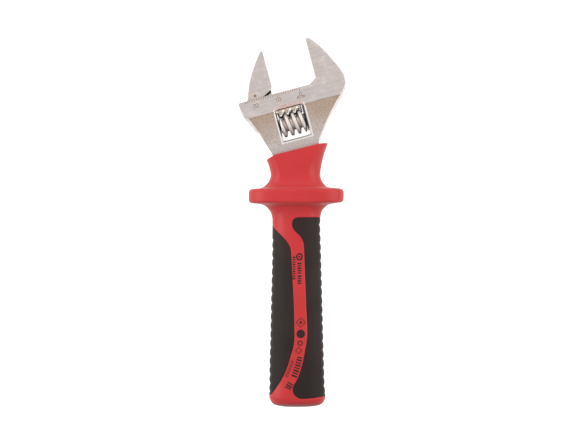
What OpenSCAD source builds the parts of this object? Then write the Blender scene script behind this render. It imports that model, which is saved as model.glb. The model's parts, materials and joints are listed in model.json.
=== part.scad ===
// Insulated adjustable wrench: a forged head with a fixed jaw, a sliding jaw driven by a worm,
// and a two-colour moulded handle. It lies on its back, with the handle along Y, the jaws towards
// +Y and the marked face up. The origin is under the middle of its box.

/* [Jaws] */
// Angle of the jaw slide to the square of the handle, in degrees
head_angle = 15; // [14:0.5:16]
// Thickness of the ground jaws
jaw_t = 10.2; // [9.8:0.1:10.6]
// Gap between the jaw faces as the wrench lies
opening = 19.35; // [17:0.05:21]
// Height of the fixed jaw's tip above the worm's window centre
jaw_tip = 34.8; // [33:0.2:36]
// Height of the deck that the sliding jaw runs on
deck = 15.1; // [14.9:0.1:15.4]

/* [Slide and worm] */
// Diameter of the sliding jaw's round rail
rail_d = 7.4; // [7:0.1:7.6]
// Thickness of the neck between the rail and the blade
neck_t = 4.6; // [4:0.1:5]
// Outside diameter of the worm
worm_d = 10.4; // [10.2:0.05:10.4]
// Diameter at the bottom of the worm's thread
worm_root_d = 5.8; // [5.6:0.1:6]
// Length of the worm
worm_length = 10.8; // [10.4:0.1:11]
// Pitch of the worm and of the rack
pitch = 3.07; // [3:0.01:3.1]
// Gap left on each side of a thread in the rack
thread_gap = 0.13; // [0.12:0.01:0.18]
// Radial clearance of the rail in its channel, and half of the neck's in its slot
slide_gap = 0.06; // [0.05:0.01:0.08]
// Diameter of the worm's pin
pin_d = 2.9; // [2.8:0.05:2.9]

/* [Handle] */
// Half the thickness of the handle's middle
grip_depth = 8.4; // [8:0.1:8.8]
// Half the width of the guard flange
guard_width = 20.5; // [20:0.1:21]
// Half the depth of the guard flange
guard_depth = 12.5; // [12:0.1:13]
// Width of the steel shank inside the handle
shank_w = 13; // [12:0.5:14]
// Thickness of the steel shank inside the handle
shank_t = 6; // [5:0.5:7]

/* [Hidden] */
$fn = 64;

STEEL = [0.76, 0.73, 0.71];
BRIGHT = [0.82, 0.8, 0.79];
RED = [0.8, 0.13, 0.14];
BLACK = [0.2, 0.17, 0.16];

// The middle of the whole wrench's box, seen from the handle's axis
box_mid = [-1.65, -0.09];
// The head's own frame: its origin is at the middle of the worm's window
head_at = [-1.38, 41.89];
// The fixed jaw's face, and the sliding jaw's face at rest
fixed_face = 14.85;
jaw_face = fixed_face - opening;
// The line between the ground face above and the blasted face below, and the blasted face's taper
ground_line = 7.6;
blasted_drop = 0.12;
blasted_taper = 1.1;
// Thickness of the head's foot, in the collar
head_foot_t = jaw_t - 1.88;
// Worm and rail axes, and a thread's middle on the side that meets the rack
worm_v = 0.9;
rail_v = worm_v + 3.08 + rail_d / 2;
thread_u = 0.6;
worm_from = -5.2;
worm_r = worm_d / 2;
root_r = worm_root_d / 2;
crest_half = 0.45;
flank_slope = 0.3;
sections_per_turn = 36;
bore_r = pin_d / 2 + 0.05;
lead = atan(0.0989);
// Rail ends at rest
rail_from = -17.3;
rail_to = 5.5;
// Worm window: its inner walls, and the corners of its mouth on each face
window_u = [-5.6, 5.8];
window_v = [-5.8, 8];
mouth_from = [-6.9, -6.5];
mouth_to = [7.5, 9.7];
// Threaded end of the pin, and its smooth end
pin_head_r = 2;
pin_from = -14.4;
pin_step = -9.2;
pin_to = 10.5;
// Spring on the pin, in a pocket in the worm's left end
wire_d = 0.42;
coil_r = 1.82;
coils = 3.5;
pocket_r = 2.2;
pocket_depth = 2.9;
// Handle: its hard core, and how far the guard's oval is cut back to leave a flat on each face
core_w = 16;
core_t = 12.4;
guard_crown = 0.7;

// A smooth open curve through points, in steps pieces between each two
function bend(a, b, c, d, t) = 0.5 * (2 * b + (c - a) * t + (2 * a - 5 * b + 4 * c - d) * t * t
    + (3 * b - a - 3 * c + d) * t * t * t);
function curve(p, steps) = [
    for (i = [0 : len(p) - 2], k = [0 : steps - 1])
        bend(p[max(i - 1, 0)], p[i], p[i + 1], p[min(i + 2, len(p) - 1)], k / steps),
    p[len(p) - 1]
];

// A closed solid through rings that have the same number of points
module skin(rings) {
    n = len(rings[0]);
    m = len(rings);
    polyhedron(
        points = [for (ring = rings, q = ring) q],
        faces = concat(
            [[for (i = [0 : n - 1]) i]],
            [for (j = [0 : m - 2], i = [0 : n - 1], half = [0, 1])
                let (a = j * n + i, b = j * n + (i + 1) % n)
                half == 0 ? [a, a + n, b] : [b, a + n, b + n]],
            [[for (i = [n - 1 : -1 : 0]) (m - 1) * n + i]]
        ),
        convexity = 8
    );
}

// A plate from an outline of [u, v, bevel] points that runs anticlockwise. Its bevels run on past the
// thickness t, so whatever it is joined with cuts it flat there
spare = 0.05;
function inset(p, i) = let (
        n = len(p),
        d = p[(i + 1) % n] - p[(i + n - 1) % n],
        move = (p[i].z + spare) / norm([d.x, d.y])
    ) [p[i].x - d.y * move, p[i].y + d.x * move];
module bevelled_plate(p, t) {
    n = len(p);
    skin([
        [for (i = [0 : n - 1]) let (q = inset(p, i)) [q.x, q.y, -t / 2 - spare]],
        [for (i = [0 : n - 1]) [p[i].x, p[i].y, p[i].z - t / 2]],
        [for (i = [0 : n - 1]) [p[i].x, p[i].y, t / 2 - p[i].z]],
        [for (i = [0 : n - 1]) let (q = inset(p, i)) [q.x, q.y, t / 2 + spare]]
    ]);
}

module slab(t, outline) {
    translate([0, 0, -t / 2]) linear_extrude(t) polygon(outline);
}

// A cylinder along the slide, from one place on it to another
module along(from, to, r, v) {
    translate([from, v, 0]) rotate([0, 90, 0]) cylinder(h = to - from, r = r);
}

module box(from, to) {
    translate(from) cube(to - from);
}

module place() {
    translate([-box_mid.x, -box_mid.y, guard_depth]) children();
}

module head() {
    place() translate([head_at.x, head_at.y, 0]) rotate([0, 0, head_angle]) children();
}

// ---- Fixed jaw body ----

// Back of the fixed jaw from the shank up to the tip, then the left flank down to the shank
right_flank = [[6.6, -13.6, 0.05], [9.33, -9.7, 1.2], [11.6, -6.7, 1.3], [16.8, -0.4, 1.3],
    [22, 4.85, 1.3], [25.1, 8.3, 0.9], [27.05, 12.2, 0.4], [26.7, 16.7, 0.3], [24.3, 22.3, 0.3],
    [21.3, 28.2, 0.3], [18.3, 32.5, 0.2], [16.3, 34.7, 0.05]];
left_flank = [[-19.8, 15.3, 0.05], [-20.45, 14.5, 0.05], [-20.5, 13.4, 0.1], [-20.1, 9.9, 0.6],
    [-18.6, 6.4, 1.3], [-16.7, 2.2, 1.3], [-15.3, 0.2, 1], [-14.4, -2.2, 0.8],
    [-13.2, -5.7, 0.7], [-12.2, -8.9, 0.7], [-11.4, -12.6, 0.05]];
function head_outline() = concat(curve(right_flank, 6),
    [[15.8, jaw_tip, 0.05], [13, jaw_tip, 0.05]], curve(left_flank, 5));

// Shank: from the head's foot down to a plain bar
function shank_outline() = [[-9.6, 28.4], [-6.5, 18], [-shank_w / 2, 12], [-shank_w / 2, -66],
    [-shank_w / 2 + 4, -70], [shank_w / 2 - 4, -70], [shank_w / 2, -66], [shank_w / 2, 12],
    [6.5, 18], [9.2, 31]];

module shank() {
    place() slab(shank_t, shank_outline());
}

module head_plate() {
    difference() {
        intersection() {
            bevelled_plate(head_outline(), jaw_t);
            // All but the gap between the jaws, down to the deck and the throat's slope
            slab(jaw_t, [[fixed_face, 40], [fixed_face, 17.3], [11.5, deck], [-30, deck],
                [-30, -20], [35, -20], [35, 40]]);
        }
        for (s = [-1, 1]) blasted_face(s);
    }
}

// The blasted faces lie a little below the ground ones, and fall away towards the handle
module blasted_face(s) {
    top = jaw_t / 2 - blasted_drop;
    foot = jaw_t / 2 - blasted_taper;
    rotate([90, 0, 90]) translate([0, 0, -40]) linear_extrude(90)
        polygon([[ground_line, s * top], [-14, s * foot], [-14, s * 9], [ground_line, s * 9]]);
}

// A rectangle's outline, anticlockwise, with round corners
corner_steps = 5;
function rounded(from, to, r) = [
    for (c = [0 : 3], i = [0 : corner_steps])
        let (
            a = 90 * (c + 2 + i / corner_steps),
            at = [c == 0 || c == 3 ? from.x + r : to.x - r, c < 2 ? from.y + r : to.y - r]
        )
        at + r * [cos(a), sin(a)]
];

module worm_window() {
    inner = rounded([window_u[0], window_v[0]], [window_u[1], window_v[1]], 1);
    slab(20, inner);
    for (s = [-1, 1]) window_chamfer(inner, s);
}

// The window's mouth widens towards each face
module window_chamfer(inner, s) {
    inner_z = s * (jaw_t / 2 - 1.5);
    outer_z = s * (jaw_t / 2 + 0.3);
    low = [for (q = inner) [q.x, q.y, inner_z]];
    high = [for (q = rounded(mouth_from, mouth_to, 2)) [q.x, q.y, outer_z]];
    skin(s > 0 ? [low, high] : [high, low]);
}

module fixed_jaw_body() {
    color(STEEL) {
        difference() {
            union() {
                head() head_plate();
                shank();
            }
            head() {
                along(-30, 32, rail_d / 2 + slide_gap, rail_v);
                box([-30, rail_v, -neck_t / 2 - slide_gap], [14.5, 18, neck_t / 2 + slide_gap]);
                worm_window();
                along(-30, pin_step, pin_head_r, worm_v);
                along(pin_step - 1, pin_to + 0.2, bore_r, worm_v);
            }
        }
    }
}

// ---- Sliding jaw ----

// Back of the blade, from below the deck up to the tip, seen from the jaw's own face
jaw_back = [[0.8, 34.3, 0.2], [-0.5, 34.35, 0.2], [-1.3, 34.05, 0.2], [-3.2, 32, 0.3],
    [-5.5, 28.8, 0.3], [-8.3, 24.3, 0.3], [-10, 20.7, 0.3], [-11.3, 17.3, 0.3],
    [-12.3, 14, 0.3]];
function blade_outline() = concat(curve(jaw_back, 5), [[3, 12, 0.3], [3, 34.3, 0.2]]);

// One gap of the rack: the shape of the worm's thread, with its clearance, laid along the lead
module rack_gap() {
    wide = crest_half + thread_gap;
    foot = 2.95;
    foot_half = wide + flank_slope * (worm_r - foot);
    rotate([0, lead, 0]) translate([0, worm_v, -rail_d]) linear_extrude(2 * rail_d)
        polygon([[-foot_half, foot], [foot_half, foot], [wide, worm_r], [0.7 * wide, worm_r + 0.5],
            [0.3 * wide, worm_r + 0.65], [-0.3 * wide, worm_r + 0.65],
            [-0.7 * wide, worm_r + 0.5], [-wide, worm_r]]);
}

module rail() {
    end_bevel = 0.7;
    r = rail_d / 2;
    translate([rail_from, rail_v, 0]) rotate([0, 90, 0]) rotate_extrude()
        polygon([[0, 0], [r - end_bevel, 0], [r, end_bevel],
            [r, rail_to - rail_from - end_bevel], [r - end_bevel, rail_to - rail_from],
            [0, rail_to - rail_from]]);
}

module movable_jaw() {
    blade_foot = deck + 0.05;
    color(STEEL) head() difference() {
        union() {
            translate([jaw_face, 0, 0]) {
                intersection() {
                    bevelled_plate(blade_outline(), jaw_t);
                    slab(jaw_t, [[0, 40], [-30, 40], [-30, blade_foot], [-4.8, blade_foot],
                        [-0.85, 17.15], [0, 18.8]]);
                }
                slab(neck_t, [[-11.4, rail_v], [-0.85, rail_v], [-0.85, 17.15], [-1.5, 18.5],
                    [-10.8, 18.5]]);
            }
            rail();
        }
        for (k = [-6 : 1]) translate([thread_u + k * pitch, 0, 0]) rack_gap();
    }
}

// ---- Worm, its pin and its spring ----

// A helical ridge along u: a ring of four points at each angle, on a root buried in the core
module worm_thread() {
    buried_r = root_r - 0.2;
    root_half = crest_half + flank_slope * (worm_r - buried_r);
    first = floor((worm_from - 2 - thread_u) / pitch * sections_per_turn);
    last = ceil((worm_from + worm_length + 2 - thread_u) / pitch * sections_per_turn);
    skin([for (i = [first : last])
        let (
            a = i * 360 / sections_per_turn,
            u = thread_u + pitch * a / 360
        )
        [for (q = [[buried_r, root_half], [worm_r, crest_half],
                [worm_r, -crest_half], [buried_r, -root_half]])
            [u + q.y, q.x * cos(a), q.x * sin(a)]]
    ]);
}

module adjusting_worm() {
    end_bevel = 0.6;
    to = worm_length;
    color(BRIGHT) head() translate([0, worm_v, 0]) difference() {
        union() {
            along(worm_from, worm_from + worm_length, root_r, 0);
            intersection() {
                worm_thread();
                translate([worm_from, 0, 0]) rotate([0, 90, 0]) rotate_extrude()
                    polygon([[0, 0], [worm_r - end_bevel, 0], [worm_r + 0.3, end_bevel + 0.3],
                        [worm_r + 0.3, to - end_bevel - 0.3], [worm_r - end_bevel, to], [0, to]]);
            }
        }
        along(worm_from - 1, worm_from + worm_length + 1, bore_r, 0);
        along(worm_from - 1, worm_from + pocket_depth, pocket_r, 0);
    }
}

module worm_pin() {
    color(BRIGHT) head() difference() {
        union() {
            along(pin_from, pin_step, pin_head_r, worm_v);
            along(pin_step - 1, pin_to, pin_d / 2, worm_v);
        }
        box([pin_from - 1, worm_v - 0.35, -3], [pin_from + 0.9, worm_v + 0.35, 3]);
    }
}

// The spring presses between the window's wall and the bottom of the worm's pocket
module worm_spring() {
    sides = 6;
    steps = 18 * coils;
    from = window_u[0] + wire_d / 2 + 0.02;
    length = worm_from + pocket_depth - from - wire_d / 2 - 0.06;
    color(BRIGHT) head() translate([0, worm_v, 0])
        skin([for (i = [0 : steps])
            let (a = -360 * coils * i / steps, u = from + length * i / steps)
            [for (s = [0 : sides - 1])
                let (b = 360 * s / sides, r = coil_r + wire_d / 2 * cos(b))
                [u + wire_d / 2 * sin(b), r * cos(a), r * sin(a)]]
        ]);
}

// ---- Handle ----

// Rings of the moulded handle: [y, left half width, right half width, half depth, squareness]
handle_rings = [
    [-79.8, 7.2, 7.4, 4.4, 2.4], [-79.2, 9, 9.5, 6, 2.4], [-77.9, 10.4, 11.4, 7.6, 2.4],
    [-75.5, 11.3, 12.5, grip_depth, 2.4], [-71.5, 11.4, 12.2, grip_depth + 0.2, 2.4],
    [-52, 11.2, 11.6, grip_depth + 0.1, 2.4], [-34, 10.9, 11.1, grip_depth, 2.4],
    [-12, 10.4, 10.6, grip_depth - 0.1, 2.4], [0.8, 10.2, 10.3, grip_depth - 0.2, 2.4],
    [3.4, 10.6, 10.8, 8.4, 2.4], [5.2, 11.6, 11.7, 8.7, 2.4], [6.6, 12.9, 12.9, 9.3, 2.4],
    [7.5, 14.6, 14.6, 10.1, 2.35], [8, 17.5, 17.2, 11.3, 2.3],
    [8.7, guard_width - 0.7, guard_width - 0.7, guard_depth - 0.5, 2.3],
    [9.8, guard_width, guard_width, guard_depth + guard_crown, 2.3],
    [12.8, guard_width, guard_width, guard_depth + guard_crown, 2.3],
    [13.8, guard_width - 0.7, guard_width - 0.6, guard_depth - 0.5, 2.3],
    [14.4, 17.8, 18.6, 11.3, 2.3], [15, 14.7, 14.7, 9.8, 2.4], [16.2, 12.9, 12.6, 8.5, 2.6],
    [18, 11.4, 11, 7.5, 3], [20.5, 10.8, 10.4, 7, 3.6], [24, 11.5, 10.7, 6.9, 4.2],
    [28, 12.8, 11.6, 7, 4.6], [36, 14.8, 14.3, 7.1, 5]
];
ring_points = 36;

function power(x, e) = sign(x) * pow(abs(x), e);
function handle_ring(r) = [
    for (i = [0 : ring_points - 1])
        let (a = -i * 360 / ring_points, c = power(cos(a), 2 / r[4]))
        [c * (c < 0 ? r[1] : r[2]), r[0], r[3] * power(sin(a), 2 / r[4])]
];

module handle_form() {
    place() skin([for (r = handle_rings) handle_ring(r)]);
}

// The collar stops along the head's slide direction, a little lower at its two sides
module above_collar() {
    head() translate([0, 0, -20]) linear_extrude(40)
        polygon([[-40, -15], [-14.7, -11.6], [-10.5, -10.6], [10, -10.6], [12.2, -11.7], [40, -20],
            [40, 30], [-40, 30]]);
}

// The flats on the guard's two faces, which the wrench lies on without rolling
module guard_flats() {
    place() for (s = [0, 1]) mirror([0, 0, s]) box([-15, 7, guard_depth], [15, 16, guard_depth + 2]);
}

module handle_core() {
    place() translate([0, 14, 0]) rotate([90, 0, 0]) linear_extrude(90.4)
        offset(4) square([core_w - 8, core_t - 8], center = true);
}

// Borders of the black grips on the front face, which the back face repeats
left_border = [[-10.2, -1.2], [-6.4, -5.9], [-4, -8.6], [-2.4, -11.9], [-1.8, -22.3],
    [-1, -38], [-0.8, -50], [-2.8, -59.2], [-5.1, -65.4], [-8.7, -71.5], [-11.4, -75]];
right_border = [[12.4, -75.2], [9.6, -75.8], [4.3, -76.3], [1.9, -76.3], [0.1, -75.6],
    [-1.1, -74.2], [-1.5, -72.2], [0.85, -67.1], [3.2, -59], [4.9, -47], [4.5, -38],
    [3.7, -17.8], [3.3, -9.3], [1.9, -6.3], [-1, -3.2], [-1.8, -1.1], [-1.4, 0.8], [0.5, 1.95],
    [10.3, 1.95]];

module left_panel() {
    place() translate([0, 0, -20]) linear_extrude(40)
        polygon(concat([[-16, -1.2]], curve(left_border, 3), [[-16, -75]]));
}

module right_panel() {
    place() translate([0, 0, -20]) linear_extrude(40)
        polygon(concat([[16, -75.2]], curve(right_border, 3), [[16, 1.95]]));
}

module insulating_sleeve() {
    color(RED) difference() {
        handle_form();
        guard_flats();
        above_collar();
        difference() {
            union() {
                left_panel();
                right_panel();
            }
            handle_core();
        }
        shank();
        head() slab(head_foot_t, [for (p = head_outline()) [p.x, p.y]]);
    }
}

module grip_left() {
    color(BLACK) difference() {
        intersection() {
            handle_form();
            left_panel();
        }
        handle_core();
    }
}

module grip_right() {
    color(BLACK) difference() {
        intersection() {
            handle_form();
            right_panel();
        }
        handle_core();
    }
}

fixed_jaw_body();
movable_jaw();
adjusting_worm();
worm_pin();
worm_spring();
insulating_sleeve();
grip_left();
grip_right();
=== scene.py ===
"""Looks of the insulated adjustable wrench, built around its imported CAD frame.

Sizes are in millimetres until a mesh is made. The handle's own frame has its axis on X = 0 and its
middle plane on Z = 0; the head's own frame has u along the jaws' slide and v across it.
"""

import json
import math

import bmesh
import bpy
import numpy as np
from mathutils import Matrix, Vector


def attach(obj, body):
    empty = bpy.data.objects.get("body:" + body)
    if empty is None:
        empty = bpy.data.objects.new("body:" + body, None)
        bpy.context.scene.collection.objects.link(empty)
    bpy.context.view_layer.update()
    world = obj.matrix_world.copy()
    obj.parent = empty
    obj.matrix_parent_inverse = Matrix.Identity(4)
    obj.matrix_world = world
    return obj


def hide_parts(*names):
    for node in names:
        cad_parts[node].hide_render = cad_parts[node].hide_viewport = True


MM = 0.001
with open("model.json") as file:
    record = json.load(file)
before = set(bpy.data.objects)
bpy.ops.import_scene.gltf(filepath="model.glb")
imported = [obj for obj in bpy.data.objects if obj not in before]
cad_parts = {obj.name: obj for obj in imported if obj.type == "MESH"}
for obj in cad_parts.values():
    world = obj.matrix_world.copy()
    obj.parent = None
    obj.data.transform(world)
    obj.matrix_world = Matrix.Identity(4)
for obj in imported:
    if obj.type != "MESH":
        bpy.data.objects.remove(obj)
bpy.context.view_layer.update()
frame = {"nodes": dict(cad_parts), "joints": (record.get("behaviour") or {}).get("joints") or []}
nodes = frame["nodes"]
joints = {j["name"]: j for j in frame["joints"]}

# ---- Frames ----

# The worm's axis stands this far up the head's frame from its origin, the middle of the window
WORM_V = 0.9
SLIDE = np.array(joints["jaw_slide"]["axis"])
ACROSS = np.array([-SLIDE[1], SLIDE[0], 0])
WORM_AT = np.array(joints["worm_spin"]["pos_m"]) / MM
HEAD_AT = WORM_AT - WORM_V * ACROSS
# The wrench's middle plane stands at half the depth of its guard flange
MIDDLE_HEIGHT = WORM_AT[2]
HANDLE_AT = np.array([1.65, 0.09, MIDDLE_HEIGHT])
HEAD_ANGLE = math.atan2(SLIDE[1], SLIDE[0])
JAW_T = 10.2
FACE = JAW_T / 2

# ---- Worm's sizes: radii, places along u, the spring's pocket and the thread ----

WORM_R = 5.2
WORM_ROOT = 2.9
WORM_FROM = -5.2
WORM_LENGTH = 10.8
HUB_R = 2.98
HUB_ENDS = (-5.52, 5.74)
PITCH = 3.07
THREAD_U = 0.6
BORE_R = 1.5
POCKET_R = 2.2
POCKET_DEPTH = 2.9
TURN_STEPS = 240
KNURLS = 60
KNURL_DEPTH = 0.07
END_BEVEL = 0.6


def on_head(points):
    """Points of the head's frame, as rows of u, v, z, in the row frame."""
    p = np.asarray(points, float)
    return HEAD_AT + p[:, :1] * SLIDE + p[:, 1:2] * ACROSS + p[:, 2:] * np.array([0, 0, 1])


def on_handle(points):
    """Points of the handle's frame in the row frame."""
    return np.asarray(points, float) + HANDLE_AT


# ---- Mesh helpers ----


def new_mesh(name, points, faces, body, material, smooth=True):
    """A piece of the object from points in millimetres in the row frame."""
    mesh = bpy.data.meshes.new(name)
    mesh.from_pydata([tuple(p * MM) for p in points], [], [tuple(f) for f in faces])
    mesh.validate()
    mesh.update()
    piece = bpy.data.objects.new(name, mesh)
    bpy.context.scene.collection.objects.link(piece)
    for face in mesh.polygons:
        face.use_smooth = smooth
    mesh.materials.append(material)
    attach(piece, body)
    return piece


def sharpen(piece, degrees):
    """Marks the edges that turn by more than an angle as sharp."""
    piece.data.set_sharp_from_angle(angle=math.radians(degrees))


def smoothstep(x, low, high):
    """0 up to low, 1 from high on, and a soft rise between."""
    t = np.clip((x - low) / (high - low), 0, 1)
    return t * t * (3 - 2 * t)


def through(xs, ys, x):
    """A smooth curve through points, which never overshoots them, read at x."""
    xs = np.asarray(xs, float)
    ys = np.asarray(ys, float)
    h = np.diff(xs)
    d = np.diff(ys) / h
    m = np.zeros(len(xs))
    m[0], m[-1] = d[0], d[-1]
    inner = d[:-1] * d[1:] > 0
    w1 = 2 * h[1:] + h[:-1]
    w2 = h[1:] + 2 * h[:-1]
    with np.errstate(divide="ignore", invalid="ignore"):
        mean = (w1 + w2) / (w1 / d[:-1] + w2 / d[1:])
    m[1:-1] = np.where(inner, mean, 0)
    k = np.clip(np.searchsorted(xs, x) - 1, 0, len(h) - 1)
    t = np.clip((x - xs[k]) / h[k], 0, 1)
    return (
        (1 + 2 * t) * (1 - t) ** 2 * ys[k]
        + t * (1 - t) ** 2 * h[k] * m[k]
        + t * t * (3 - 2 * t) * ys[k + 1]
        + t * t * (t - 1) * h[k] * m[k + 1]
    )


# ---- Materials ----


class Shader:
    """A Principled material that is put together node by node."""

    def __init__(self, name, **inputs):
        self.material = bpy.data.materials.new(name)
        self.material.use_nodes = True
        self.tree = self.material.node_tree
        self.surface = self.tree.nodes["Principled BSDF"]
        for key, value in inputs.items():
            self.surface.inputs[key.replace("_", " ")].default_value = value

    def feed(self, socket, value):
        """Links a socket's value in, or sets a plain one."""
        if isinstance(value, bpy.types.NodeSocket):
            self.tree.links.new(value, socket)
        else:
            socket.default_value = value

    def math(self, operation, a, b=0.0):
        made = self.tree.nodes.new("ShaderNodeMath")
        made.operation = operation
        self.feed(made.inputs[0], a)
        self.feed(made.inputs[1], b)
        return made.outputs[0]

    def between(self, value, low, high, to_low=0.0, to_high=1.0):
        """A value carried from one range to another, and held at its ends."""
        made = self.tree.nodes.new("ShaderNodeMapRange")
        for socket, number in zip(made.inputs, (value, low, high, to_low, to_high)):
            self.feed(socket, number)
        return made.outputs[0]

    def mix(self, share, a, b):
        """Colour a, giving way to colour b as share goes from 0 to 1."""
        made = self.tree.nodes.new("ShaderNodeMix")
        made.data_type = "RGBA"
        self.feed(made.inputs["Factor"], share)
        colour_sockets = [socket for socket in made.inputs if socket.type == "RGBA"]
        for socket, value in zip(colour_sockets, (a, b)):
            self.feed(socket, value)
        return next(socket for socket in made.outputs if socket.type == "RGBA")

    def noise(self, place, scale, detail=2.0, roughness=0.5):
        made = self.tree.nodes.new("ShaderNodeTexNoise")
        self.feed(made.inputs["Vector"], place)
        made.inputs["Scale"].default_value = scale
        made.inputs["Detail"].default_value = detail
        made.inputs["Roughness"].default_value = roughness
        return made.outputs["Fac"]

    def place(self, turn=0.0, stretch=(1, 1, 1), origin=(0, 0, 0)):
        """The piece's own coordinates in millimetres, from an origin, turned about Z and stretched."""
        coordinates = self.tree.nodes.new("ShaderNodeTexCoord")
        shift = self.tree.nodes.new("ShaderNodeVectorMath")
        shift.operation = "MULTIPLY_ADD"
        shift.inputs[1].default_value = (1 / MM,) * 3
        shift.inputs[2].default_value = [-x for x in origin]
        self.tree.links.new(coordinates.outputs["Object"], shift.inputs[0])
        turned = self.tree.nodes.new("ShaderNodeMapping")
        turned.inputs["Rotation"].default_value = (0, 0, -turn)
        self.tree.links.new(shift.outputs[0], turned.inputs["Vector"])
        if stretch == (1, 1, 1):
            return turned.outputs[0]
        scaled = self.tree.nodes.new("ShaderNodeVectorMath")
        scaled.operation = "MULTIPLY"
        scaled.inputs[1].default_value = stretch
        self.tree.links.new(turned.outputs[0], scaled.inputs[0])
        return scaled.outputs[0]

    def parts(self, vector):
        """The three parts of a vector."""
        made = self.tree.nodes.new("ShaderNodeSeparateXYZ")
        self.tree.links.new(vector, made.inputs[0])
        return made.outputs

    def bump(self, height, distance, strength, normal=None):
        """A bumped normal; distance is in millimetres."""
        made = self.tree.nodes.new("ShaderNodeBump")
        made.inputs["Strength"].default_value = strength
        made.inputs["Distance"].default_value = distance * MM
        self.feed(made.inputs["Height"], height)
        if normal is not None:
            self.feed(made.inputs["Normal"], normal)
        return made.outputs[0]

    def round_edges(self, radius):
        """A normal that rounds the edges off, by a radius in millimetres."""
        made = self.tree.nodes.new("ShaderNodeBevel")
        made.samples = 4
        made.inputs["Radius"].default_value = radius * MM
        return made.outputs[0]


# Places in the head's frame: the line between its ground and blasted faces, and the blasted foot
GROUND_LINE = 7.6
BLASTED_FOOT = -9.0
RUST_FROM = -4.0
# The window: past its chamfers, outside and inside its painted rim highlight, and along its walls with
# painted shade
MOUTH_U, MOUTH_V = (-7.1, 7.6), (-6.6, 9.8)
RIM_OUTER_U, RIM_OUTER_V = (-6.8, 7.45), (-6.85, 6.9)
RIM_INNER_U, RIM_INNER_V = (-6.25, 6.85), (-6.4, -6.3)
TOP_CHAMFER = (7.9, 8.2)
LEFT_WALL_U, RIGHT_WALL_U, SIDE_WALLS_V = (-6.2, -5.3), (5.5, 6.75), (-3.6, 7.8)
FOOT_WALL_U, FOOT_WALL_V = (-5.6, 6.5), (-6.35, -5.7)
# The rack: middle and half height of its painted teeth, its top and the seam above it
TEETH_V, TEETH_HALF = 5.85, 0.95
RACK_TOP = (8.6, 8.3)
RACK_SEAM = (7.72, 8.4)
# The jaw's neck: half its thickness, where it leaves the deck, and the line of the blade's undercut
NECK_HALF = 2.42
NECK_FROM = (14.6, 14.9)
UNDERCUT_U, UNDERCUT_V, UNDERCUT_SLOPE = -9.3, 15.35, 0.42

GROUND_DULL = (0.45, 0.41, 0.403, 1)
GROUND_BRIGHT = (0.565, 0.52, 0.508, 1)
WARM_CLOUD = (0.58, 0.47, 0.40, 1)
PALE_SMUDGE = (0.68, 0.60, 0.555, 1)
BLASTED_LOW = (0.52, 0.478, 0.465, 1)
BLASTED_HIGH = (0.415, 0.315, 0.25, 1)
RUST = (0.38, 0.27, 0.18, 1)
PITS = (0.12, 0.09, 0.07, 1)
FLANK_DULL = (0.56, 0.52, 0.50, 1)
FLANK_BRIGHT = (0.68, 0.64, 0.62, 1)
# Black for painted shade: on the window's walls, in the jaw's undercut, in the rack's gaps and past the
# worm's thread
SHADE_BLACK = (0.02, 0.018, 0.017, 1)
GREASE_DARK = (0.36, 0.25, 0.16, 1)
GREASE_PALE = (0.66, 0.57, 0.50, 1)
# White for the painted highlight on the rack's teeth
TEETH_HIGHLIGHT = (1.0, 0.98, 0.95, 1)
SEAM_DARK = (0.05, 0.045, 0.04, 1)
# Light grey for the painted highlight round the window's rim
RIM_HIGHLIGHT = (0.66, 0.64, 0.63, 1)
TARNISH_DARK = (0.56, 0.38, 0.35, 1)
TARNISH_PALE = (0.72, 0.60, 0.57, 1)


def band(s, value, low, high, soft=0.15):
    """1 between two places, 0 outside them."""
    rise = s.between(value, low - soft, low + soft)
    return s.math("MULTIPLY", rise, s.between(value, high + soft, high - soft))


def head_steel(name, sliding=False):
    """Ground and brushed above the line, blasted with fine grit below it."""
    s = Shader(name, Metallic=1.0)
    place = s.place(HEAD_ANGLE, origin=HEAD_AT)
    u, v, z = s.parts(place)
    lines = s.noise(s.place(HEAD_ANGLE, (0.16, 6.0, 1.0), HEAD_AT), 1.0, 3.0, 0.6)
    streaks = s.noise(s.place(HEAD_ANGLE, (0.05, 1.6, 1.0), HEAD_AT), 1.0, 2.0, 0.5)
    brushed = s.math("ADD", s.math("MULTIPLY", lines, 0.6), s.math("MULTIPLY", streaks, 0.4))
    cloud = s.noise(place, 0.16, 2.0)
    grit = s.noise(place, 1.9, 3.0, 0.75)
    blasted = s.between(v, GROUND_LINE + 0.05, GROUND_LINE - 0.05)
    facing = s.tree.nodes.new("ShaderNodeNewGeometry")
    up = s.math("ABSOLUTE", s.parts(facing.outputs["True Normal"])[2])
    flat = s.between(up, 0.9, 0.985)
    faces = s.mix(blasted, ground_colour(s, brushed, cloud), blasted_colour(s, v, cloud, grit))
    flanks = s.mix(s.between(lines, 0.3, 0.7), FLANK_DULL, FLANK_BRIGHT)
    colour = s.mix(flat, flanks, faces)
    # Painted light: highlights on the rack's teeth and round the window's rim; shade in the rack's
    # gaps, in the jaw's undercut and on the window's walls
    if sliding:
        colour = rack_edges(s, u, v, grit, colour)
        shade = neck_shade(s, u, v, z)
    else:
        colour = window_rim(s, u, v, flat, colour)
        shade = window_shade(s, u, v, flat)
    # The painted shade takes the colour towards black here
    s.feed(s.surface.inputs["Base Color"], s.mix(shade, colour, SHADE_BLACK))
    rough = s.between(lines, 0.2, 0.8, 0.3, 0.42)
    s.feed(s.surface.inputs["Roughness"], s.math("ADD", rough, s.math("MULTIPLY", blasted, 0.15)))
    scratches = s.math("MULTIPLY", brushed, s.math("SUBTRACT", 1.0, blasted))
    pits = s.math("MULTIPLY", s.math("MULTIPLY", grit, blasted), 2.0)
    height = s.math("ADD", scratches, pits)
    s.feed(s.surface.inputs["Normal"], s.bump(height, 0.012, 0.8, s.round_edges(0.18)))
    return s.material


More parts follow.
